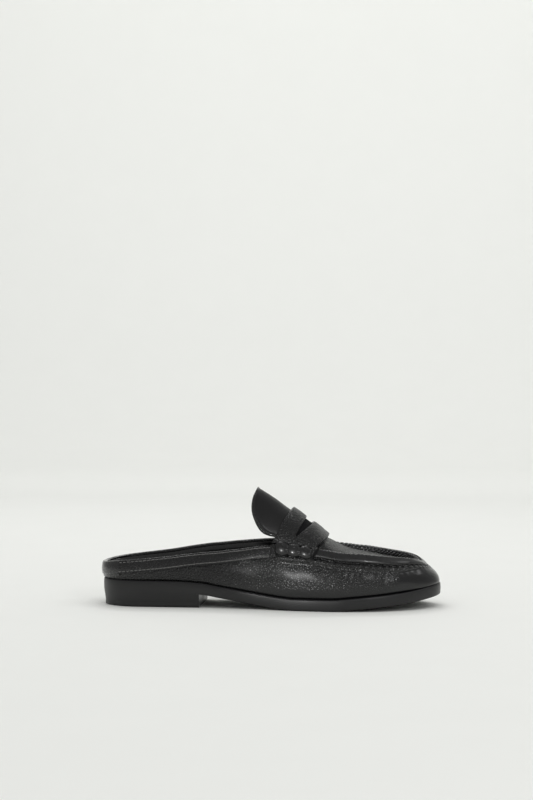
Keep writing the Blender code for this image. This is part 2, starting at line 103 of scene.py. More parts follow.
def curve(places, values):
    """A smooth curve through a column's values that never overshoots them."""
    places, values = np.array(places, float), np.array(values, float)
    runs = np.diff(places)
    rises = np.diff(values) / runs
    turning = rises[:-1] * rises[1:]
    total = np.where(turning > 0, rises[:-1] + rises[1:], 1.0)
    slopes = np.concatenate([rises[:1], np.where(turning > 0, 2 * turning / total, 0.0), rises[-1:]])

    def at(x):
        x = np.clip(x, places[0], places[-1])
        i = np.clip(np.searchsorted(places, x, side="right") - 1, 0, len(runs) - 1)
        t = (x - places[i]) / runs[i]
        steady = values[i] * (1 + 2 * t) * (1 - t) ** 2 + values[i + 1] * t * t * (3 - 2 * t)
        bend = slopes[i] * t * (1 - t) ** 2 - slopes[i + 1] * t * t * (1 - t)
        return steady + bend * runs[i]

    return at


def table(columns, *rows):
    """A short table of sections. Its first column says where along the form each row stands."""
    places = [row[0] for row in rows]
    names = columns.split()[1:]
    return {name: curve(places, [row[i + 1] for row in rows]) for i, name in enumerate(names)}


# The sole's outline, in shares of the ball width
OUTLINE = table(
    "along centre half",
    (0, 0, 0.313),
    (0.19, -0.006, 0.322),
    (0.29, -0.025, 0.314),
    (0.38, -0.047, 0.32),
    (0.46, -0.058, 0.342),
    (0.53, -0.058, 0.386),
    (0.61, -0.044, 0.44),
    (0.67, -0.028, 0.474),
    (0.73, -0.008, 0.496),
    (0.77, 0.003, 0.494),
    (0.82, 0.012, 0.48),
    (0.88, 0.02, 0.452),
    (1, 0.032, 0.402),
)

# The sole's underside, in shares of the heel lift and of the toe spring
PROFILE = table(
    "along heel toe",
    (0, 1, 0),
    (0.23, 0.95, 0),
    (0.3, 0.86, 0),
    (0.35, 0.68, 0),
    (0.4, 0.5, 0),
    (0.45, 0.33, 0),
    (0.5, 0.16, 0),
    (0.54, 0.06, 0),
    (0.575, 0, 0),
    (0.68, 0, 0),
    (0.73, 0, 0.1),
    (0.78, 0, 0.22),
    (0.83, 0, 0.34),
    (0.88, 0, 0.48),
    (0.92, 0, 0.62),
    (0.96, 0, 0.8),
    (1, 0, 1),
)

# The side wall: its height, its lean, its bulge, and how deep the plug lies under the seam's lip
WALL = table(
    "along rise_outer rise_inner lean_outer lean_inner bulge drop",
    (0, 0.31, 0.31, -0.03, -0.03, 0.3, 0),
    (0.03, 0.345, 0.35, 0.01, 0.01, 0.35, 0),
    (0.1, 0.4, 0.41, 0.08, 0.06, 0.45, 0),
    (0.2, 0.47, 0.51, 0.24, 0.2, 0.6, 0),
    (0.3, 0.59, 0.66, 0.34, 0.28, 0.5, 0),
    (0.4, 0.78, 0.85, 0.44, 0.34, 0.45, 0),
    (0.5, 0.975, 1.01, 0.59, 0.45, 0.68, 0),
    (0.53, 1, 1.04, 0.64, 0.5, 0.78, 0),
    (0.57, 1, 1.04, 0.72, 0.56, 0.95, 0),
    (0.63, 0.96, 0.99, 0.8, 0.66, 1, 0),
    (0.66, 0.935, 0.96, 0.82, 0.7, 1, 0.2),
    (0.72, 0.86, 0.88, 0.82, 0.74, 0.95, 0.9),
    (0.79, 0.79, 0.8, 0.82, 0.78, 0.85, 1),
    (0.88, 0.68, 0.685, 0.84, 0.84, 0.75, 1),
    (0.94, 0.592, 0.592, 0.93, 0.93, 0.35, 1),
    (0.98, 0.51, 0.51, 1, 1, 0.1, 1),
    (1, 0.46, 0.46, 1.05, 1.05, 0, 1),
)

# The crown from the tongue's tip to the toe, in shares of the tongue's own rise and lean
CROWN = table(
    "along rise forward",
    (0.35, 1, 1),
    (0.42, 0.782, 0.77),
    (0.51, 0.462, 0.49),
    (0.573, 0.272, 0.36),
    (0.635, 0.106, 0.2),
    (0.676, 0.076, 0.11),
    (0.72, 0.07, 0.05),
    (0.763, 0.057, 0),
    (0.81, 0.04, 0),
    (0.9, 0.022, 0),
    (1, 0, 0),
)


def smooth(t):
    t = np.clip(t, 0, 1)
    return t * t * (3 - 2 * t)


def round_end(distance, length, power):
    """The share of full width at a distance from a rounded end."""
    left = np.clip(1 - distance / length, 0, 1)
    return np.maximum(1 - left**power, 0) ** (1 / power)


def along_of(turn):
    """The share of the sole's length at which a turn stands."""
    return (1 - np.cos(2 * np.pi * turn)) / 2


def station_of(turn):
    """The same in metres from the heel."""
    return along_of(turn) * SOLE_LENGTH


def turn_of(along):
    """The turn on the outer side that stands at a share of the sole's length."""
    return np.arccos(1 - 2 * np.clip(along, 0, 1)) / (2 * np.pi)


def turn_at(station, side="outer"):
    """The turn at a station, in metres from the heel, on one side."""
    turn = turn_of(station / SOLE_LENGTH)
    return turn if side == "outer" else 1 - turn


def outline(turn):
    turn = np.mod(turn, 1.0)
    along = along_of(turn)
    side = np.where(turn < 0.5, -1.0, 1.0)
    heel_end = round_end(along * SOLE_LENGTH, HEEL_ROUND, END_BLUNTNESS)
    toe_end = round_end((1 - along) * SOLE_LENGTH, TOE_ROUND, END_BLUNTNESS)
    across = OUTLINE["centre"](along) + side * OUTLINE["half"](along) * heel_end * toe_end
    return np.stack([along * SOLE_LENGTH, across * BALL_WIDTH, 0 * along], -1)


def unit(vectors):
    return vectors / np.maximum(np.linalg.norm(vectors, axis=-1, keepdims=True), 1e-12)


def matched(*values):
    """The values as arrays of one shape."""
    return np.broadcast_arrays(*(np.asarray(value, float) for value in values))


def inwards(turn):
    """The level direction into the shoe, square to the outline."""
    run = outline(turn + 0.002) - outline(turn - 0.002)
    return unit(np.stack([-run[..., 1], run[..., 0], 0 * run[..., 0]], -1))


def edge(turn, inset):
    return outline(turn) + inwards(turn) * np.asarray(inset)[..., None]


def sole_under(x):
    along = np.clip(x / SOLE_LENGTH, 0, 1)
    return PROFILE["heel"](along) * HEEL_LIFT + PROFILE["toe"](along) * TOE_SPRING


def sole_top(x):
    return sole_under(x) + SOLE_THICKNESS


def margin(turn):
    """How far the upper's foot stands in from the sole's edge: close to it at the back of the heel."""
    return WELT_MARGIN * (0.15 + 0.85 * smooth(station_of(turn) / HEEL_BREAST))


def by_side(name, turn):
    """A wall's column on the outer side or the inner one."""
    along = along_of(turn)
    return np.where(np.mod(turn, 1.0) < 0.5, WALL[name + "_outer"](along), WALL[name + "_inner"](along))


def wall_height(turn):
    return by_side("rise", turn) * SIDE_HEIGHT


def wall_base(turn, up):
    """The side wall's own surface, by how far up it a point lies: 0 at its foot, 1 at its top."""
    turn, up = matched(turn, up)
    lean = by_side("lean", turn) * SIDE_LEAN + TOE_LEAN * smooth((along_of(turn) - 0.92) / 0.08)
    lean = lean * up * abs(up)
    bulge = WALL["bulge"](along_of(turn)) * SIDE_BULGE * np.sin(np.pi * up)
    point = edge(turn, margin(turn) + lean - bulge)
    point[..., 2] = sole_top(point[..., 0]) + CLEARANCE + up * wall_height(turn)
    return point


def facing(form, first, second, step_first, step_second):
    """The outward direction of a form at its own two coordinates."""
    run = form(first + step_first, second) - form(first - step_first, second)
    rise = form(first, second + step_second) - form(first, second - step_second)
    return unit(np.cross(run, rise))


def wall_out(turn, up):
    """The outward direction of the side wall."""
    return facing(wall_base, turn, up, 0.002, 0.01)


def wall(turn, below, lift):
    """A point of the side wall, by its distance below the top and its lift off the leather."""
    turn, below, lift = matched(turn, below, lift)
    up = 1 - below / wall_height(turn)
    return wall_base(turn, up) + wall_out(turn, up) * lift[..., None]


def plug_edge(turn):
    """Where the plug meets the inside of the seam's lip."""
    point = wall_base(turn, 1.0) + inwards(turn) * LIP_WIDTH
    point[..., 2] -= WALL["drop"](along_of(turn)) * LIP_HEIGHT
    return point


def crown_base(station, angle):
    """The crown's own surface, over from the outer side at -90 degrees to the inner side at 90."""
    station, angle = matched(station, angle)
    turn = turn_of(station)
    outer, inner = plug_edge(turn), plug_edge(1 - turn)
    centre = (outer + inner) / 2
    centre[..., 0] += CROWN["forward"](station) * TONGUE_FORWARD
    centre[..., 1] += CROWN["rise"](station) * INSTEP_SHIFT
    centre[..., 2] += CROWN["rise"](station) * TONGUE_RISE
    foot = np.where((angle < 0)[..., None], outer, inner)
    height = (np.maximum(np.cos(angle), 0) ** CROWN_FULLNESS)[..., None]
    width = (abs(np.sin(angle)) ** CROWN_FULLNESS)[..., None]
    point = foot + (centre - foot) * height
    point[..., 1] = (centre + (foot - centre) * width)[..., 1]
    return point


def crown(station, angle, lift):
    """A point over the crown: station in metres from the heel."""
    station, angle, lift = matched(station, angle, lift)
    station = station / SOLE_LENGTH
    return crown_base(station, angle) + facing(crown_base, station, angle, 0.002, 0.02) * lift[..., None]


def even_turns(start, end, step):
    """Turns from start to end whose points on the outline stand a step apart, and the way walked."""
    fine = np.linspace(start, end, 4000)
    way = np.concatenate([[0], np.cumsum(np.linalg.norm(np.diff(outline(fine), axis=0), axis=1))])
    walked = np.linspace(0, way[-1], max(2, round(way[-1] / step)) + 1)
    return np.interp(walked, way, fine), walked


def origin_shift():
    """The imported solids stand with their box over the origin: how far that is from the lasted form."""
    ring = edge((np.arange(88) + 0.5) / 88, np.zeros(88))
    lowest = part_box("outsole")[0]
    return np.array([lowest.x - ring[:, 0].min(), lowest.y - ring[:, 1].min(), 0.0])


SHIFT = origin_shift()


def put_in_scene(name, data):
    made = bpy.data.objects.new(name, data)
    bpy.context.scene.collection.objects.link(made)
    return made


def add_piece(name, points, faces, finish, nodes=(), sharp=48):
    """One closed piece of the shoe, riding on its only body."""
    mesh = bpy.data.meshes.new(name)
    mesh.from_pydata((np.asarray(points) + SHIFT).tolist(), [], faces)
    shape = bmesh.new()
    shape.from_mesh(mesh)
    bmesh.ops.remove_doubles(shape, verts=shape.verts, dist=0.002 * MM)
    bmesh.ops.dissolve_degenerate(shape, edges=shape.edges, dist=0.001 * MM)
    bmesh.ops.recalc_face_normals(shape, faces=shape.faces)
    shape.to_mesh(mesh)
    shape.free()
    mesh.shade_smooth()
    mesh.set_sharp_from_angle(angle=math.radians(sharp))
    mesh.materials.append(finish)
    piece = put_in_scene(name, mesh)
    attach(piece, "root")
    if nodes:
        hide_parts(*nodes)
    return piece


def swept(name, rings, finish, nodes=(), closed=False, ends=2, sharp=48):
    """A piece whose closed section runs through the rings. Strips from side to side close its ends."""
    rings = np.asarray(rings, float)
    count, size = rings.shape[:2]
    index = np.arange(count * size).reshape(count, size)
    here = index if closed else index[:-1]
    ahead = np.roll(index, -1, 0) if closed else index[1:]
    quads = np.stack([here, ahead, np.roll(ahead, -1, 1), np.roll(here, -1, 1)], -1)
    faces = quads.reshape(-1, 4).tolist()
    for ring in [] if closed else [index[0], index[-1]][:ends]:
        for i in range(size // 2 - 1):
            faces.append([int(ring[k]) for k in (i, i + 1, size - 2 - i, size - 1 - i)])
    return add_piece(name, rings.reshape(-1, 3), faces, finish, nodes, sharp)


def colour(code):
    """An sRGB hex value as a linear colour."""
    parts = [int(code[i : i + 2], 16) / 255 for i in (1, 3, 5)]
    linear = [part / 12.92 if part <= 0.04045 else ((part + 0.055) / 1.055) ** 2.4 for part in parts]
    return (*linear, 1.0)


MULTIPLY = {"operation": "MULTIPLY"}
SOFTLY = {"interpolation_type": "SMOOTHSTEP"}


def add_node(tree, kind, options, inputs, output=0):
    """Add a node with its options, set or link its inputs, by name or in order, and give one output."""
    node = tree.nodes.new("ShaderNode" + kind)
    for name, value in options.items():
        setattr(node, name, value)
    named = inputs if isinstance(inputs, dict) else dict(enumerate(inputs))
    for name, value in named.items():
        if isinstance(value, bpy.types.NodeSocket):
            tree.links.new(value, node.inputs[name])
        else:
            node.inputs[name].default_value = value
    return node.outputs[output]


def new_finish(name, *patches, **sockets):
    """A material with its shader's steady values set, its tree, the object's own coordinates and soft noises.

    Each noise is given by how many millimetres its patches are across, and by its detail.
    """
    finish = bpy.data.materials.new(name)
    finish.use_nodes = True
    tree = finish.node_tree
    shader = tree.nodes["Principled BSDF"]
    for socket, value in sockets.items():
        shader.inputs[socket.replace("_", " ")].default_value = value
    place = add_node(tree, "TexCoord", {}, {}, "Object")
    noises = []
    for size, detail in patches:
        inputs = {"Vector": place, "Scale": 1 / (size * MM), "Detail": detail}
        noises.append(add_node(tree, "TexNoise", {}, inputs))
    return finish, tree, place, noises


def lay_surface(finish, heights, tone, dark, light, gloss=None):
    """Give a finish its heights, one over the other and with their depths, its two shades and its gloss."""
    tree, surface = finish.node_tree, {}
    for height, depth in heights:
        inputs = {"Height": height, "Distance": depth, "Strength": 1.0, **surface}
        surface = {"Normal": add_node(tree, "Bump", {}, inputs)}
    shades = {"Factor": tone, 6: colour(dark), 7: colour(light)}
    surface["Base Color"] = add_node(tree, "Mix", {"data_type": "RGBA"}, shades, 2)
    if gloss:
        surface["Roughness"] = gloss
    for name, socket in surface.items():
        tree.links.new(socket, tree.nodes["Principled BSDF"].inputs[name])
    return finish


def smoothed_towards_toe(tree, place):
    """How much grain is left: the hide is stretched smooth over the toe, and low down by the sole."""
    parts = add_node(tree, "SeparateXYZ", {}, {0: place}).node.outputs
    toe = add_node(tree, "MapRange", SOFTLY, (parts["X"], 84 * MM, 106 * MM, 1.0, 0.0))
    foot = add_node(tree, "MapRange", SOFTLY, (parts["Z"], 13 * MM, 25 * MM, 0.1, 1.0))
    return add_node(tree, "Math", MULTIPLY, (toe, foot))


# Where the fans of fine puckers stand ahead of the shoe's middle, in millimetres, and how strong each is
FANS = (
    (30, 0.15), (44, 0.4), (56, 0.3), (63, 1.0), (69, 1.0), (74, 0.12),
    (80, 0.15), (85, 1.0), (93, 0.9), (97, 0.15), (100, 0.4), (103, 0.0),
)
FANS_END = 120
PUCKER_STRETCH = (1.0, 1.0, 0.16)


def gathers(tree, place):
    """Fine puckers below the seam: streaks that run down the vamp, in fans where the hide is drawn in."""
    drawn = add_node(tree, "VectorMath", MULTIPLY, (place, PUCKER_STRETCH))
    streaks = add_node(tree, "TexNoise", {}, {"Vector": drawn, "Scale": 1 / (1.9 * MM), "Detail": 1.5})
    parts = add_node(tree, "SeparateXYZ", {}, {0: place}).node.outputs
    along = add_node(tree, "MapRange", {}, (parts["X"], 0, FANS_END * MM, 0.0, 1.0))
    fans = add_node(tree, "ValToRGB", {}, {"Fac": along})
    stops = fans.node.color_ramp.elements
    for ahead, strength in FANS:
        stops.new(ahead / FANS_END).color = (strength, strength, strength, 1.0)
    stops.remove(stops[-1])
    high = add_node(tree, "MapRange", SOFTLY, (parts["Z"], 13 * MM, 22 * MM, 0.0, 1.0))
    held = add_node(tree, "Math", MULTIPLY, (fans, high))
    return add_node(tree, "Math", MULTIPLY, (streaks, held))


def pebbled_leather(name, dark, light_shade, grain, depth, roughness, polish, stretched=False):
    """Drum-tumbled cowhide: rounded pebbles with tight valleys, shiny on their tops and dull between them,
    with painted shade in the valleys.
    """
    finish, tree, place, (waves, patches) = new_finish(
        name, (14, 1.0), (22, 3.0),
        IOR=1.47, Metallic=0.0, Coat_Weight=polish, Coat_Roughness=0.28, Coat_IOR=1.5,
    )
    # The pebbles wander: their cells are pushed about by a soft noise of three grains
    push = add_node(tree, "TexNoise", {}, {"Vector": place, "Scale": 1 / (3 * grain), "Detail": 2.0}, "Color")
    centred = add_node(tree, "VectorMath", {"operation": "SUBTRACT"}, (push, (0.5, 0.5, 0.5)))
    moved = add_node(tree, "VectorMath", {"operation": "SCALE"}, {0: centred, "Scale": 1.6 * grain})
    wandering = add_node(tree, "VectorMath", {"operation": "ADD"}, (place, moved))
    cells = {"Vector": wandering, "Scale": 1 / grain}
    pebbles = add_node(tree, "TexVoronoi", {"feature": "SMOOTH_F1"}, {**cells, "Smoothness": 0.35})
    valleys = add_node(tree, "TexVoronoi", {"feature": "DISTANCE_TO_EDGE"}, cells)
    # A pebble is domed: its height falls with the square of the way from its middle
    bowl = add_node(tree, "Math", MULTIPLY, (pebbles, pebbles))
    crowns = add_node(tree, "Math", MULTIPLY, (bowl, -4.0))
    gap = add_node(tree, "MapRange", SOFTLY, (valleys, 0.0, 0.14, 1.0, 0.0))
    heights = [(waves, 0.25 * MM)]
    if stretched:
        left = smoothed_towards_toe(tree, place)
        crowns = add_node(tree, "Math", MULTIPLY, (crowns, left))
        gap = add_node(tree, "Math", MULTIPLY, (gap, left))
        heights.append((gathers(tree, place), 0.5 * MM))
    floor = add_node(tree, "Math", {"operation": "SUBTRACT"}, (1.0, gap))
    heights += [(crowns, 0.7 * depth), (floor, 0.4 * depth)]
    # The polish sits on the pebbles' tops
    gloss = add_node(tree, "MapRange", SOFTLY, (gap, 0.0, 1.0, roughness, roughness + 0.3))
    # Painted shade: the valleys between the pebbles take the dark shade, and the tops take the lighter one in
    # soft patches
    tone = add_node(tree, "Math", MULTIPLY, (floor, patches))
    return lay_surface(finish, heights, tone, dark, light_shade, gloss)


def smooth_leather(name, dark, light_shade, roughness, wrinkle, polish):
    """Full-grain calf: fine pores and a few soft wrinkles under a waxy gloss."""
    finish, tree, _, (soft, lines, pores) = new_finish(
        name, (9, 1.0), (2.4, 1.5), (0.4, 3.0),
        IOR=1.48, Metallic=0.0, Coat_Weight=polish, Coat_Roughness=0.15, Coat_IOR=1.5,
    )
    heights = ((soft, wrinkle), (lines, 0.3 * wrinkle), (pores, 0.008 * MM))
    gloss = add_node(tree, "MapRange", SOFTLY, (lines, 0.3, 0.7, roughness - 0.05, roughness + 0.1))
    return lay_surface(finish, heights, soft, dark, light_shade, gloss)


def napped_leather(name, dark, pale):
    """The flesh side of the hide: a short dense nap with no gloss, a shade lighter where it is brushed."""
    finish, _, _, (nap, brushed) = new_finish(
        name, (0.6, 3.0), (7, 2.0), IOR=1.3, Metallic=0.0, Roughness=0.95, Specular_IOR_Level=0.15
    )
    return lay_surface(finish, [(nap, 0.1 * MM)], brushed, dark, pale)


def waxed_thread(name, dark, pale, twist):
    """Waxed polyester thread: the twist shows as fine slanted ribs that catch the light, their crests painted
    in the pale shade as a painted highlight.
    """
    finish, tree, place, _ = new_finish(name, IOR=1.53, Metallic=0.0, Roughness=0.38)
    slanted = {"wave_type": "BANDS", "bands_direction": "DIAGONAL"}
    twisted = {"Vector": place, "Scale": 0.3 / twist, "Distortion": 0.6, "Detail": 1.0}
    ribs = add_node(tree, "TexWave", slanted, twisted, "Fac")
    return lay_surface(finish, [(ribs, 0.12 * MM)], ribs, dark, pale)


def moulded_rubber(name, dark, scuffed, roughness):
    """Moulded and trimmed rubber: an even satin with a fine mould grain, scuffed a little here and there."""
    finish, tree, _, (grain, scuffs) = new_finish(name, (0.5, 3.0), (18, 4.0), IOR=1.52, Metallic=0.0)
    gloss = add_node(tree, "MapRange", SOFTLY, (scuffs, 0.3, 0.7, roughness - 0.06, roughness + 0.08))
    return lay_surface(finish, [(scuffs, 0.2 * MM), (grain, 0.015 * MM)], scuffs, dark, scuffed, gloss)


# Name, the dark and the lighter shade, the grain's size and depth, roughness, polish
grained = pebbled_leather(
    "pebbled_cowhide", "#040405", "#0d0d0f", 1.9 * MM, 0.27 * MM, 0.25, 0.18, stretched=True
)
band_grained = pebbled_leather("band_cowhide", "#040405", "#0d0d0f", 1.5 * MM, 0.14 * MM, 0.24, 0.2)
plug_grained = pebbled_leather("plug_cowhide", "#040405", "#0b0b0d", 1.6 * MM, 0.18 * MM, 0.36, 0.0)
fine_grained = pebbled_leather("fine_grained_cowhide", "#040405", "#0c0c0e", 1.6 * MM, 0.24 * MM, 0.3, 0.05)
# Name, the dark and the lighter shade, roughness, the wrinkles' depth, polish
matt_calf = smooth_leather("matt_calf", "#040405", "#09090b", 0.45, 0.1 * MM, 0.0)
polished = smooth_leather("polished_calf", "#060607", "#0f0f11", 0.25, 0.2 * MM, 0.5)
waxed = smooth_leather("waxed_calf", "#050506", "#0c0c0e", 0.32, 0.05 * MM, 0.3)
# Painted sheen: both of the lace's shades are much lighter than the leather's, so the whips read bright
sheen_lace = smooth_leather("lace_with_painted_sheen", "#161617", "#3c3c3d", 0.22, 0.05 * MM, 1.0)
burnished = smooth_leather("burnished_calf", "#050506", "#0e0e10", 0.3, 0.06 * MM, 0.15)
lining = smooth_leather("lining_leather", "#080809", "#121213", 0.3, 0.2 * MM, 0.3)
napped = napped_leather("napped_leather", "#111112", "#222223")
# Painted highlight: the thread's pale shade lies on the crests of its twist ribs
thread = waxed_thread("waxed_thread", "#2a2a2a", "#848382", 0.5 * MM)
rubber = moulded_rubber("sole_rubber", "#08080a", "#0e0e10", 0.4)


# Sole and heel


def level_ring(turns, inset, height):
    """One level of the sole: the outline moved in, at a height that goes by how far along it is."""
    ring = edge(turns, inset + TOE_TRIM * smooth((along_of(turns) - 0.9) / 0.08))
    ring[:, 2] = height(ring[:, 0])
    return ring


def build_outsole():
    """The sole's edge is trimmed square and rounded at the floor, but runs flush into the heel block."""
    count = 520
    turns = (np.arange(count) + 0.5) / count
    ahead = smooth((outline(turns)[:, 0] - HEEL_BREAST) / (6 * MM))
    round_off = (0.02 + 0.98 * ahead) * EDGE_ROUND
    rings = []
    for down in np.linspace(0, np.pi / 2, 5):
        low = level_ring(turns, round_off * (1 - np.sin(down)), sole_under)
        low[:, 2] += round_off * (1 - np.cos(down))
        rings.append(low)
    side = level_ring(turns, -0.15 * MM, lambda x: sole_under(x) + SOLE_THICKNESS * 0.55)
    rings.append(side)
    for inset, under in ((0.0, 1.5), (0.1, 0.8), (0.35, 0.3), (0.8, 0.05), (1.5, 0.0)):
        rings.append(level_ring(turns, inset * MM, lambda x: sole_top(x) - under * MM))
    swept("outsole_edge", rings, rubber, ["outsole"])


def heel_ring(inset, height, breast_inset=0.0):
    """One level of the heel, from the breast on the outer side round the back to the inner side."""
    last = turn_at(HEEL_BREAST)
    turns = np.linspace(last, -last, 180)
    ring = edge(turns, np.full(turns.shape, inset))
    ring[:, 0] = np.minimum(ring[:, 0], HEEL_BREAST - breast_inset)
    ring[:, 2] = height(ring[:, 0])
    return ring[::-1]


def build_heel():
    """The stacked block, flush with the sole's edge above and with the top piece below."""
    seat = heel_ring(0.0, sole_under)
    foot = heel_ring(HEEL_TAPER, lambda x: 0 * x + TOP_PIECE)
    rings = [foot + (seat - foot) * share for share in np.linspace(0, 1, 9)]
    swept("heel_block", rings, rubber, ["heel"])


def build_top_piece():
    rings = []
    for inset, height in ((0.9, 0.0), (0.35, 0.12), (0.08, 0.42), (0.0, 0.9), (0.0, 2.4), (0.0, 3.8)):
        rings.append(heel_ring(HEEL_TAPER + inset * MM, lambda x: 0 * x + height * MM, inset * MM))
    swept("heel_top_piece", rings, rubber, ["top_piece"])


def build_sock():
    """The sock lies on the insole board, over the sole's top, its edge rounded."""
    count = 260
    turns = (np.arange(count) + 0.5) / count
    inside = margin(turns) + LEATHER + 2 * CLEARANCE
    rings = []
    for inset, height in ((0.0, 0.3), (0.0, 2.4), (0.3, 2.9), (1.0, 3.2), (3.0, 3.3)):
        rings.append(level_ring(turns, inside + inset * MM, lambda x: sole_top(x) + height * MM))
    swept("sock", rings, lining, ["insole"])


# Upper

# The lower roll under the stitched groove: how far it stands off the wall, down from the top
ROLL_SECTION = curve(
    [0.0, 5.0, 5.6, 6.6, 7.1, 7.8, 8.7, 9.5, 10.2, 10.9, 12.0],
    [0.0, 0.0, -0.35, -0.35, 0.6, 1.35, 1.5, 1.15, 0.2, -0.1, 0.0],
)

# Under a beef roll the groove is filled and the roll's foot is one smooth ledge
LEDGE_SECTION = curve([0.0, 3.0, 5.0, 6.4, 9.2, 10.2, 10.9, 12.0], [0.0, 0.2, 1.3, 1.75, 1.7, 1.2, -0.1, 0.0])

# Creases laid on each side of the vamp: along the sole, depth, width, where each starts and
# ends below the top, and how far its foot wanders forwards (all in millimetres)
OUTER_CREASES = (
    (170, 0.19, 1.6, 10, 25, 1), (176.5, 0.25, 1.5, 9, 27, -1.5),
    (181, 0.19, 1.3, 10, 24, -1), (187, 0.25, 1.3, 9, 22, -1.5),
    (193, 0.36, 1.3, 8.8, 24, -3.5), (197.8, 0.52, 1.4, 8.6, 26, -4.5),
    (201.5, 0.41, 1.3, 8.8, 22, -3), (206.5, 0.30, 1.3, 9, 17, 0),
    (214.8, 0.33, 1.3, 8.8, 21, 0), (218.7, 0.50, 1.4, 8.4, 25, 0),
    (222.3, 0.47, 1.3, 8.4, 24, -4), (226, 0.44, 1.3, 8.4, 21, -4.5),
    (233.8, 0.39, 1.4, 8.2, 17, 2), (238, 0.25, 1.3, 8.2, 14, 1),
    (246, 0.30, 1.4, 7.8, 12, 0.5), (150, 0.30, 5, 12, 33, 9),
    (119, 0.30, 1.6, 4.5, 9.5, 10), (112, 0.28, 4, 10, 26, 10),
)
INNER_CREASES = (
    (176, 0.22, 1.5, 9, 26, -1), (184, 0.33, 1.4, 8.8, 24, -2),
    (190, 0.44, 1.4, 8.6, 25, -3), (198, 0.25, 1.3, 9, 20, 1),
    (206, 0.47, 1.4, 8.4, 24, -1), (213, 0.33, 1.3, 8.6, 20, -2.5),
    (221, 0.44, 1.4, 8.4, 22, 1), (229, 0.30, 1.3, 8.2, 18, -1),
    (238, 0.33, 1.3, 8, 16, 1), (247, 0.19, 1.4, 7.8, 12, 0.5),
    (155, 0.30, 5, 12, 33, 8),
)
WALL_ROWS = 26
STITCH_PITCH = 5.6 * MM
WHIP_PITCH = 3.6 * MM
WHIP_SLANT = 2.5 * MM
# How far the roll's wraps and the filled groove reach past its front end
WRAP_ROOM = 3 * MM
UP = np.array([0, 0, 1.0])


def ahead_of_saddle(turn):
    """0 behind the saddle's back edge, 1 a little ahead of it."""
    return smooth((station_of(turn) - SADDLE_BACK) / (8 * MM))


def seam_share(turn):
    """Round the toe's tip the seam is worked smaller: the share of its full height."""
    return 1 - 0.42 * smooth((along_of(turn) - 0.86) / 0.13)


def creased(turn, below):
    """How far the vamp's creases pull the wall in."""
    along = station_of(turn) / MM
    below = below / MM
    outer = np.mod(turn, 1.0) < 0.5
    depth = np.zeros(np.broadcast(turn, below).shape)
    for creases, here in ((OUTER_CREASES, outer), (INNER_CREASES, ~outer)):
        for start, deep, wide, top, foot, wander in creases:
            share = np.clip((below - top) / (foot - top), 0, 1)
            strength = smooth((below - top + 1.5) / 3) * smooth((foot - below) / (0.6 * (foot - top)))
            middle = start + wander * share
            near = np.exp(-(((along - middle) / (wide * (1 + share))) ** 2))
            depth += deep * near * strength * here
    return depth * MM


def build_quarters_and_vamp():
    """The grained wall all round, gathered under the seam in front, with a rolled foot on the sole."""
    turns, walked = even_turns(0.0, 1.0, 0.85 * MM)
    turns, walked = turns[:-1, None], walked[:-1, None]
    height = wall_height(turns)
    front = ahead_of_saddle(turns)
    drop = WALL["drop"](along_of(turns)) * LIP_HEIGHT
    plain = np.linspace(0, 1, WALL_ROWS)[None, :]
    seam_rows = np.linspace(1, 0, WALL_ROWS)[None, 1:]
    seam = seam_share(turns)
    low_rows = height + CLEARANCE - plain * (height + CLEARANCE - SEAM_HEIGHT * seam)
    below = np.concatenate([low_rows, seam_rows * SEAM_HEIGHT * seam], 1)
    gather = 0.5 - 0.5 * np.cos(2 * np.pi * walked / STITCH_PITCH)
    pinch = np.exp(-(((below / seam - 7.8 * MM) / (2.6 * MM)) ** 2)) * gather**3
    lift = ROLL_SECTION(below / seam / MM) * MM * front * (1 - 0.5 * pinch)
    lift = lift * (1 - 0.8 * smooth((along_of(turns) - 0.92) / 0.06))
    station = station_of(turns)
    held = smooth((station - ROLL_BACK + 2 * MM) / (3 * MM))
    held = held * smooth((ROLL_FRONT + WRAP_ROOM - station) / (3 * MM))
    lift = lift + held * (LEDGE_SECTION(below / MM) * MM - lift)
    lift = lift - creased(turns, below) - 0.25 * MM * pinch * front * (1 - held)
    lift = lift + 0.3 * MM * smooth((along_of(turns) - 0.9) / 0.08)
    rise = height + CLEARANCE - below
    lift = lift - 0.45 * MM * np.exp(-((rise / (0.7 * MM)) ** 2))
    outside = wall(turns, below, lift)
    low = np.array([0.0, 0.25, 0.5, 0.75, 1.0])[None, :]
    top = drop + (0.2 + 2.6 * front) * MM
    back_below = top + low * (height - top)
    inside = wall(turns, back_below, -1.6 * MM)
    crest = wall(turns, np.array([[-0.1 * MM]]), -0.8 * MM * np.ones_like(turns))
    rings = np.concatenate([outside, crest, inside], 1)
    if rings.shape[1] % 2:
        rings = np.concatenate([rings, rings[:, -1:]], 1)
    swept("vamp_and_quarters", rings, grained, ["upper"], closed=True)


def build_wall_lining():
    turns, _ = even_turns(0.0, 1.0, 2.0 * MM)
    turns = turns[:-1, None]
    height = wall_height(turns)
    front = ahead_of_saddle(turns)
    top = WALL["drop"](along_of(turns)) * LIP_HEIGHT + (1.2 + 3.0 * front) * MM
    below = top + (height - top) * np.linspace(1, 0, 14)[None, :]
    face = wall(turns, below, -2.1 * MM)
    back = wall(turns, below, -1.5 * MM)
    rings = np.concatenate([face, back[:, ::-1]], 1)
    swept("wall_lining", rings, lining, closed=True)


def build_plug():
    """The plug across the vamp, from under the saddle to the toe, a leather's thickness deep."""
    start = turn_at(THROAT) - 0.01
    turns, _ = even_turns(start, PLUG_END, 1.1 * MM)
    angles = np.arcsin(np.linspace(-1, 1, 73))
    station = station_of(turns)[:, None]
    sag = 0.15 * MM * np.sin(station / MM * 0.33 + 2 * np.sin(angles)) * np.cos(angles)
    top = crown(station, angles[None, :], sag)
    under = crown(station, angles[None, :], -LEATHER)
    rings = np.concatenate([top, under[:, ::-1]], 1)
    swept("plug", rings, plug_grained, ["upper"])


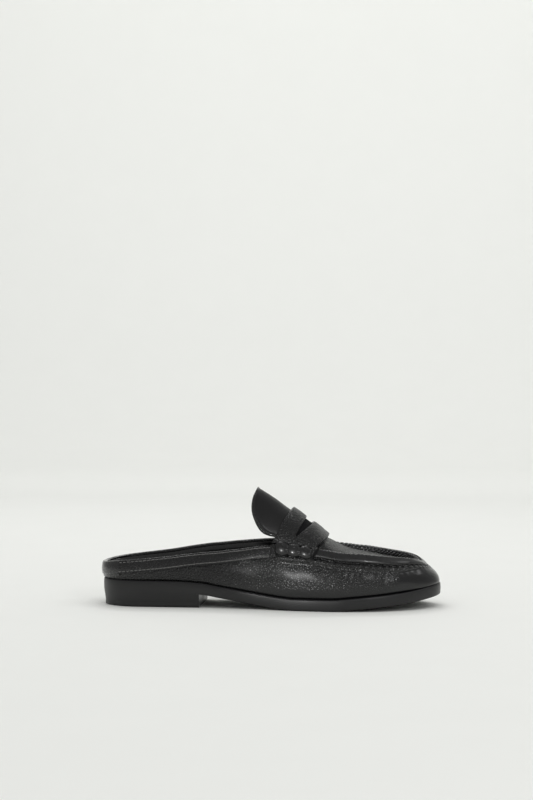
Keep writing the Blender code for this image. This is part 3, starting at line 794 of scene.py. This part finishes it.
def lip_rings(turns, walked):
    """The plug's edge turned up and whipped to the vamp: a lip whose top swells at every whip."""
    outer = (
        (5.6, -0.5), (5.45, 0.45), (5.0, 1.05), (4.3, 1.35),
        (3.3, 1.45), (1.9, 1.45), (0.9, 1.42), (0.35, 1.25),
    )
    over = ((-0.85, 0.2, 0.0), (0.1, 0.28, 0.0), (1.4, 0.2, 0.25), (2.3, -0.35, 0.4))
    drop = WALL["drop"](along_of(turns))
    inn = inwards(turns)
    crest = wall_base(turns, 1.0)
    points = []
    for below, lift in outer:
        points.append(wall(turns, below * MM * seam_share(turns), lift * MM))
    for i, (across, high, plump) in enumerate(over):
        bump = plump * (abs(np.sin(np.pi * (walked / WHIP_PITCH + 0.15 * i)))[:, None] - 0.6)
        points.append(crest + inn * across * MM + UP * (high + bump) * MM)
    for down in (0.35, 0.7, 1.0):
        waist = 0.25 * math.sin(math.pi * down)
        depth = (0.5 + down * LIP_HEIGHT / MM * drop)[:, None]
        points.append(crest + inn * (2.5 - waist) * MM - UP * depth * MM)
    depth = (1.4 + LIP_HEIGHT / MM * drop)[:, None]
    points.append(crest + inn * 1.6 * MM - UP * depth * MM)
    return np.stack(points, 1)


def build_lip():
    start = turn_at(SADDLE_BACK)
    turns, walked = even_turns(start, 1 - start, 0.45 * MM)
    swept("seam_lip", lip_rings(turns, walked), waxed, ["upper"])


def stitches(name, starts, ends, outs, thick, finish=None):
    """A row of stitches: each is a short plump thread that dips into the leather at both ends."""
    across = unit(np.cross(ends - starts, outs))
    shares = np.linspace(0, 1, 7)
    sides = 8
    points, faces = [], []
    for start, end, out, side in zip(starts, ends, outs, across):
        first = len(points)
        for share in shares:
            plump = math.sin(math.pi * (0.12 + 0.76 * share))
            middle = start + (end - start) * share + out * thick * (0.5 * plump - 0.35)
            for k in range(sides):
                angle = 2 * math.pi * k / sides
                reach = thick / 2 * plump**0.5
                points.append(middle + side * math.cos(angle) * reach + out * math.sin(angle) * reach * 0.8)
        for level in range(len(shares) - 1):
            for k in range(sides):
                low, after = first + level * sides, (k + 1) % sides
                faces.append([low + k, low + after, low + sides + after, low + sides + k])
        faces.append([first + k for k in range(sides)])
        faces.append([first + (len(shares) - 1) * sides + k for k in reversed(range(sides))])
    add_piece(name, points, faces, finish or thread, sharp=80)


def wall_stitches(name, start, end, pitch, length, below, lift, thick, finish=None):
    """A row of stitches along the wall, at a distance below its top and a lift off the leather."""
    turns, _ = even_turns(start, end, pitch)
    step = (turns[1] - turns[0]) * length / pitch / 2
    depth = below * (seam_share(turns) if along_of(turns[0]) > 0.55 else np.ones_like(turns))
    first = wall(turns - step, depth, lift)
    last = wall(turns + step, depth, lift)
    outs = wall_out(turns, 1 - depth / wall_height(turns))
    stitches(name, first, last, outs, thick, finish)


def build_seam_thread():
    """Hand-sewn dashes in the groove, and whips over the lip's inner face that hold the plug."""
    start = turn_at(ROLL_FRONT + WRAP_ROOM)
    wall_stitches(
        "groove_stitches", start, 1 - start, STITCH_PITCH,
        3.6 * MM, 6.1 * MM, 0.35 * MM, 0.95 * MM, finish=waxed,
    )
    start = turn_at(SADDLE_FRONT)
    turns, _ = even_turns(start, 1 - start, WHIP_PITCH)
    crest, inn = wall_base(turns, 1.0), inwards(turns)
    # Each whip slants along the seam on its way down: one row on the lip's inner face, one on its crest
    depth = (WALL["drop"](along_of(turns)) * LIP_HEIGHT + 0.3 * MM)[:, None]
    step = WHIP_SLANT * unit(outline(turns + 0.001) - outline(turns - 0.001))
    tops = crest + inn * 2.7 * MM - UP * 0.9 * MM - step
    feet = crest + inn * 2.9 * MM - UP * depth + step
    stitches("lip_whips_low", tops, feet, inn, 1.6 * MM, sheen_lace)
    tops = crest + inn * 1.5 * MM + UP * 0.4 * MM - step
    feet = crest + inn * 2.7 * MM - UP * 0.5 * MM + step
    stitches("lip_whips_high", tops, feet, unit(inn + 1.2 * UP), 1.5 * MM, sheen_lace)


# Collar

BAND_SECTION = (
    (9.3, -0.1), (9.35, 0.6), (9.15, 1.0), (8.7, 1.15), (8.1, 1.0), (7.5, 1.2), (5.0, 1.3), (2.6, 1.25),
    (1.7, 1.0), (1.0, 1.2), (0.3, 1.0), (-0.15, 0.55), (-0.35, -0.3), (-0.25, -1.2), (0.0, -1.9), (0.8, -2.3),
    (1.8, -2.3), (1.8, -1.9),
)


def wall_section(turns, section, grow=1.0):
    """Rings of a section laid along the wall, given as distances below the top and lifts."""
    section = np.array(section) * MM
    below = section[None, :, 0] * np.broadcast_to(grow, turns.shape)[:, None]
    return wall(turns[:, None], below, section[None, :, 1])


def build_collar():
    """The topline's facing, turned over the rim and stitched along both edges, one on each side."""
    back, front = turn_at(TAB_REACH - 1.5 * MM), turn_at(SADDLE_BACK + 4 * MM)
    short = 0.006  # the rows of stitches end this share of a turn before the band does
    for side, start, end in (("outer", back, front), ("inner", 1 - front, 1 - back)):
        turns, _ = even_turns(start, end, 1.0 * MM)
        node = "collar_band_" + side
        rings = wall_section(turns, BAND_SECTION)
        swept(node + "_facing", rings, band_grained, [node], sharp=60)
        for row, below in (("upper", 1.7), ("lower", 8.1)):
            wall_stitches(
                f"collar_stitches_{side}_{row}", start + short, end - short, 3.1 * MM,
                2.2 * MM, below * MM, 1.2 * MM, 0.75 * MM,
            )


def build_collar_pad():
    """The padded lining roll just inside the rim, from one end of the saddle round the heel to the other."""
    section = (
        (1.2, -2.0), (1.3, -2.9), (2.0, -3.9), (3.2, -4.8), (4.8, -5.3), (6.6, -5.2), (8.2, -4.6),
        (9.6, -3.6), (10.6, -2.6), (11.0, -1.8), (9.0, -1.7), (7.0, -1.7), (4.0, -1.7), (2.0, -1.7),
    )
    front = turn_of(PAD_END)
    turns, _ = even_turns(-front, front, 1.4 * MM)
    room = np.clip((wall_height(turns) - 3.6 * MM) / (11 * MM), 0, 1)
    rings = wall_section(turns, section, room)
    piece = swept("collar_padding", rings, lining, sharp=70)


def build_back_tab():
    """The tab over the back of the heel: its lower edge is doubled and turned."""
    section = (
        (11.6, -0.1), (11.7, 0.3), (11.4, 0.6), (10.8, 0.65), (10.0, 0.5), (9.7, 0.45), (9.5, 0.9),
        (9.1, 1.2), (8.4, 1.3), (5.0, 1.35), (1.8, 1.3), (0.5, 1.1), (-0.1, 0.6), (-0.35, -0.3),
        (-0.3, -1.3), (0.1, -2.1), (1.4, -2.3), (1.4, -1.9),
    )
    reach = turn_at(TAB_REACH)
    turns, _ = even_turns(-reach, reach, 0.8 * MM)
    deepest = np.minimum((wall_height(turns) - 0.2 * MM) / (11.7 * MM), 1.0)
    rings = wall_section(turns, section, deepest)
    swept("back_tab_leather", rings, polished, ["back_tab"])


# Tongue, saddle and rolls


def build_tongue():
    """The tongue: a rounded tab with a turned edge, running in under the saddle."""
    profile = (
        (1.0, -0.9, -1.1), (0.993, -0.35, -1.7), (0.98, 0.0, -1.95), (0.965, 0.2, -2.0), (0.95, 0.22, -2.0),
        (0.94, 0.1, -2.0), (0.932, -0.12, -2.0), (0.922, -0.05, -2.0), (0.9, 0.05, -2.0),
        *((share, 0.1, -2.0) for share in (0.85, 0.78, 0.7, 0.61, 0.52, 0.42, 0.32, 0.21, 0.1, 0.0)),
    )
    sweep = np.linspace(-np.pi / 2, np.pi / 2, 91)
    across = np.sign(np.sin(sweep)) * np.abs(np.sin(sweep)) ** (2 / TONGUE_BLUNTNESS)
    back = np.abs(np.cos(sweep)) ** (2 / TONGUE_BLUNTNESS) + TONGUE_FLARE * np.sin(2 * np.pi * across**2)
    base = np.linspace(THROAT - 1 * MM, SADDLE_BACK, 12)[:-1]
    reach_back = SADDLE_BACK - TONGUE_BACK + 0.5 * MM
    reach_down = TONGUE_REACH + math.radians(1)
    rings = []
    for share, top, under in profile:
        stations = np.concatenate([base, SADDLE_BACK - reach_back * back * share, base[::-1]])
        angles = reach_down * share * np.concatenate([-np.ones(11), across, np.ones(11)])
        free = smooth((SADDLE_BACK + 2 * MM - stations) / (8 * MM))
        outside = crown(stations, angles, top * MM * free)
        inside = crown(stations, angles, under * MM)
        rings.append(np.concatenate([outside, inside[::-1]]))
    swept("tongue_leather", rings, matt_calf, ["tongue"], ends=1, sharp=70)
    build_tongue_bead(sweep, back * reach_back, across * reach_down)


def build_tongue_bead(sweep, behind, angles):
    """The tongue's edge is turned over a fine cord: a bright bead just inside the rim."""
    share = 0.972
    middle = crown(SADDLE_BACK - behind * share, angles * share, 0.1 * MM)
    out = unit(crown(SADDLE_BACK - behind * share, angles * share, 1 * MM) - middle)
    side = unit(np.cross(np.gradient(middle, axis=0), out))
    angle = np.linspace(0, 2 * np.pi, 12, endpoint=False)[None, :, None]
    reach = 0.55 * MM * smooth((np.pi / 2 - abs(sweep)) / 0.06)[:, None, None]
    rings = middle[:, None] + reach * (out[:, None] * np.cos(angle) + side[:, None] * np.sin(angle))
    swept("tongue_bead", rings, polished, sharp=80)


def saddle_lines(angles, gape):
    """The saddle's back edge, and the line that its slot runs along."""
    back = SADDLE_BACK - SADDLE_SAG * np.cos(angles) ** 0.7
    return back, back + (SADDLE_FRONT - back) * (SLOT_PLACE + 0.03 * gape)


def build_saddle():
    """The penny strap: two bands with turned edges that part round a lens-shaped slot."""
    angles = np.linspace(-SADDLE_REACH, SADDLE_REACH, 121)
    gape = np.maximum(0, 1 - (angles / (1.06 * SLOT_REACH)) ** 2)
    back, middle = saddle_lines(angles, gape)
    half_slot = gape**0.8 * SLOT_WIDTH / 2
    opened, closed = smooth(gape / 0.1), 3.68
    turned = ((0.3, 0.3), (0.0, 1.0), (0.0, 2.1), (0.15, 2.9), (0.5, 3.35), (1.1, 3.55), (2.4, 3.65))
    crowned = SADDLE_TOP + 0 * gape
    shares = (0.42, 0.5, 0.58)
    places = [back + inset * MM for inset, _ in turned]
    lifts = [lift * MM + 0 * gape for _, lift in turned]
    places += [back + (middle - half_slot - back) * share for share in shares]
    lifts += [crowned] * 3
    for sign, edges in ((-1, turned[::-1]), (1, turned)):
        for inset, lift in edges:
            places.append(middle + sign * (half_slot + inset * MM))
            lifts.append((closed - (closed - lift) * opened) * MM)
    places += [middle + half_slot + (SADDLE_FRONT - middle - half_slot) * share for share in shares]
    lifts += [crowned] * 3
    places += [SADDLE_FRONT - inset * MM + 0 * gape for inset, _ in turned[::-1]]
    lifts += [lift * MM + 0 * gape for _, lift in turned[::-1]]
    places, lifts = np.stack(places, 1), np.stack(lifts, 1)
    top = crown(places, angles[:, None], lifts)
    under = crown(places, angles[:, None], 0.05 * MM)
    rings = np.concatenate([top, under[:, ::-1]], 1)
    swept("saddle_strap", rings, fine_grained, ["saddle"], sharp=75)


def build_slot_shade_sheet():
    """A dark napped sheet with almost no gloss lies under the slot: it stands in for the shade inside the
    slot, as painted shade.
    """
    angles = np.linspace(-SLOT_REACH, SLOT_REACH, 61)
    across = np.linspace(-0.62, 0.62, 7)
    gape = np.maximum(0.02, 1 - (angles / SLOT_REACH) ** 2) ** 0.8
    _, middle = saddle_lines(angles, gape)
    places = middle[:, None] + across[None, :] * SLOT_WIDTH * (gape[:, None] + 0.25)
    top = crown(places, angles[:, None], 1.5 * MM)
    under = crown(places, angles[:, None], 0.2 * MM)
    rings = np.concatenate([top, under[:, ::-1]], 1)
    swept("slot_shade_sheet", rings, napped)


# The beef rolls
ROLL_HEIGHT = 9.6 * MM
ROLL_DEPTH = 5.6 * MM
ROLL_LUMPS = 3
ROLL_WAIST = 0.3


def roll_middle(turn, share):
    """The middle line of a beef roll, its outward direction and the way up the wall beside it."""
    up = 1 - ROLL_HEIGHT * (0.32 + 0.22 * share) / wall_height(turn)
    out = wall_out(turn, up)
    rise = unit(wall_base(turn, up) - wall_base(turn, up - 0.05))
    return wall_base(turn, up) + out * (ROLL_DEPTH / 2 + 1.7 * MM), out, rise


def build_beef_rolls():
    """Three stuffed lumps a side, drawn in tight by the binding thread between them."""
    sides = 28
    angle = np.linspace(0, 2 * np.pi, sides, endpoint=False)
    share = np.linspace(-0.01, 1.01, 110)
    phase = abs(np.sin(ROLL_LUMPS * np.pi * share))
    swell = (0.66 + 0.42 * phase**0.5) * (1.12 - 0.2 * share)
    station = ROLL_BACK + (ROLL_FRONT - ROLL_BACK) * share
    for side in ("outer", "inner"):
        middle, out, rise = roll_middle(turn_at(station, side), share)
        fold = 1 + 0.05 * (1 - phase[:, None]) * np.cos(7 * angle + 1.0)[None, :]
        reach = (swell[:, None] * fold)[..., None] / 2
        rings = middle[:, None] + reach * (
            out[:, None] * np.cos(angle)[None, :, None] * ROLL_DEPTH
            + rise[:, None] * np.sin(angle)[None, :, None] * ROLL_HEIGHT
        )
        node = "beef_roll_" + side
        swept(node + "_lumps", rings, burnished, [node], sharp=80)
        build_roll_binding(side)


def build_roll_binding(side):
    """The binding thread in the waists of a roll, and the leather wraps that end it."""
    starts, ends, outs = [], [], []
    for waist in (1 / 3, 2 / 3):
        station = ROLL_BACK + (ROLL_FRONT - ROLL_BACK) * waist
        middle, out, rise = roll_middle(np.array([turn_at(station, side)]), np.array([waist]))
        for row, into in ((-0.35, starts), (-1.3, ends)):
            deep = math.sqrt(max(0.0, 1 - row * row)) * ROLL_WAIST * ROLL_DEPTH
            into.append((middle + rise * row * ROLL_WAIST * ROLL_HEIGHT + out * deep)[0])
        outs.append(out[0])
    starts, ends, outs = np.array(starts), np.array(ends), np.array(outs)
    stitches(f"beef_roll_{side}_thread", starts, ends, outs, 0.9 * MM)
    # The name, the station of the top, how far the foot leans, the width, how proud it is, its length
    wraps = (("back", 133.6, 0.0, 6.0, 0.3, 9.4), ("front", 166.0, -5.6, 3.8, 4.2, 11.0))
    for name, middle, lean, wide, proud, foot in wraps:
        sizes = (value * MM for value in (middle, lean, wide, proud, foot))
        build_wrap(f"beef_roll_{side}_{name}_wrap", side, *sizes)


def build_wrap(name, side, station, lean, wide, proud, foot):
    """A short strap over the end of a roll, from under the saddle down to the ledge."""
    below = np.linspace(-1.0 * MM, foot, 34)
    share = (below - below[0]) / (below[-1] - below[0])
    over = 1.6 * MM + proud * np.exp(-(((below - 3.9 * MM) / (4.2 * MM)) ** 4))
    over = over * smooth(share / 0.08) * smooth((1 - share) / 0.10)
    half = ((-1.0, 0.0), (-1.0, 0.6), (-0.8, 1.0), (-0.35, 1.2))
    loop = half + tuple((-across, thick) for across, thick in reversed(half))
    section = [(across, over + (thick - 0.9) * MM) for across, thick in loop]
    section += [(across, -0.6 * MM + 0 * below) for across, _ in reversed(loop)]
    points = []
    for across, lift in section:
        turn = turn_at(station + lean * share + across * wide / 2, side)
        points.append(wall(turn, below, lift))
    swept(name, np.stack(points, 1), fine_grained, sharp=75)


build_outsole()
build_heel()
build_top_piece()
build_sock()
build_quarters_and_vamp()
build_wall_lining()
build_plug()
build_lip()
build_seam_thread()
build_collar()
build_collar_pad()
build_back_tab()
build_tongue()
build_saddle()
build_slot_shade_sheet()
build_beef_rolls()


# Floor, light and camera


def build_backdrop():
    """A pale paper sweep: flat under the shoe and curved up far behind it."""
    width, near, depth, lift, bend = 4.0, -3.0, 2.6, 2.4, 0.9
    line = [(near, 0.0), (depth - bend, 0.0)]
    for step in np.linspace(0, np.pi / 2, 24)[1:]:
        line.append((depth - bend + bend * math.sin(step), bend - bend * math.cos(step)))
    line.append((depth, lift))
    points = [(x, y, z) for y, z in line for x in (-width, width)]
    faces = [(2 * i, 2 * i + 1, 2 * i + 3, 2 * i + 2) for i in range(len(line) - 1)]
    mesh = bpy.data.meshes.new("paper_sweep")
    mesh.from_pydata(points, [], faces)
    mesh.shade_smooth()
    finish, _, _, (fibres,) = new_finish(
        "white_paper", (60, 3.0), Roughness=0.9, Metallic=0.0, Specular_IOR_Level=0.1
    )
    lay_surface(finish, [], fibres, "#eeefec", "#f0f1ee")
    mesh.materials.append(finish)
    sweep = put_in_scene("paper_sweep", mesh)


def aim_lamp(light, place, target, power):
    """Put a light in its place, turned towards its target."""
    light.energy = power
    lamp = put_in_scene(light.name, light)
    lamp.location = place
    lamp.rotation_euler = (Vector(target) - Vector(place)).to_track_quat("-Z", "Y").to_euler()
    return lamp


def add_softbox(name, place, target, size, power, mirrored=True):
    """A soft light. One that isn't mirrored lights the set without a highlight of its own."""
    light = bpy.data.lights.new(name, "AREA")
    light.shape = "RECTANGLE"
    light.size, light.size_y = size
    aim_lamp(light, place, target, power).visible_glossy = mirrored


def add_spot(name, place, target, radius, cone, power):
    """A small snooted light, its cone in degrees: it draws highlights and leaves no pool on the floor."""
    light = bpy.data.lights.new(name, "SPOT")
    light.shadow_soft_size = radius
    light.spot_size = math.radians(cone)
    light.spot_blend = 1.0
    aim_lamp(light, place, target, power).visible_diffuse = False


def light_and_camera():
    world = bpy.data.worlds.new("studio")
    world.use_nodes = True
    sky = world.node_tree.nodes["Background"]
    sky.inputs["Color"].default_value = colour("#fdfdfb")
    sky.inputs["Strength"].default_value = 0.4
    bpy.context.scene.world = world
    add_softbox("ceiling_fill", (0, -0.2, 2.6), (0, -0.2, 0), (4.0, 4.0), 42.0, mirrored=False)
    add_softbox("sweep_wash", (0, 0.4, 1.25), (0, 2.6, 2.5), (3.0, 1.0), 25.0, mirrored=False)
    # A snooted spot, low in front and a little to the heel's side: it glitters on the vamp's grain
    add_spot("glitter", (-0.6, -1.66, 0.463), (0.024, -0.04, 0.033), 0.025, 3.0, 72.0)
    # Another on the toe's side draws the fans of puckers and the rope of whips on the far ridge
    add_spot("pucker_light", (0.72, -1.45, 0.95), (0.084, 0.0, 0.042), 0.025, 3.2, 50.0)
    # A small softbox on the toe's side catches the puckers
    add_softbox("toe_front", (0.85, -1.55, 0.8), (0.05, 0, 0.03), (0.25, 0.2), 3.4)
    # Lights behind and above draw the bright lines along the rims, lip, rolls and padding
    add_softbox("rim_strip", (-0.2, 0.9, 1.25), (0, 0, 0.04), (0.6, 0.2), 3.2)
    add_spot("roll_light", (0.0, -0.4, 1.4), (0.014, -0.046, 0.053), 0.015, 1.9, 1.2)
    add_softbox("toe_side", (1.25, 0.05, 1.2), (0.1, 0, 0.03), (0.5, 0.4), 1.6)

    view = bpy.data.cameras.new("camera")
    view.sensor_fit = "HORIZONTAL"
    view.sensor_width = 36.0
    view.lens = 134.95
    camera = put_in_scene("camera", view)
    # Where the camera stands round and above the shoe, and how far its view tips down
    azimuth, elevation, tilt = math.radians(5.2), math.radians(6.0), math.radians(1.46)
    away = Vector((
        math.sin(azimuth) * math.cos(elevation), -math.cos(azimuth) * math.cos(elevation), math.sin(elevation)
    ))
    look = Vector((-math.sin(azimuth) * math.cos(tilt), math.cos(azimuth) * math.cos(tilt), -math.sin(tilt)))
    looked_at, distance = Vector((-0.0035, 0, 0.035)), 1.55
    camera.location = looked_at + away * distance
    camera.rotation_euler = look.to_track_quat("-Z", "Y").to_euler()
    bpy.context.scene.camera = camera
    bpy.context.scene.view_settings.view_transform = "Standard"


build_backdrop()
light_and_camera()
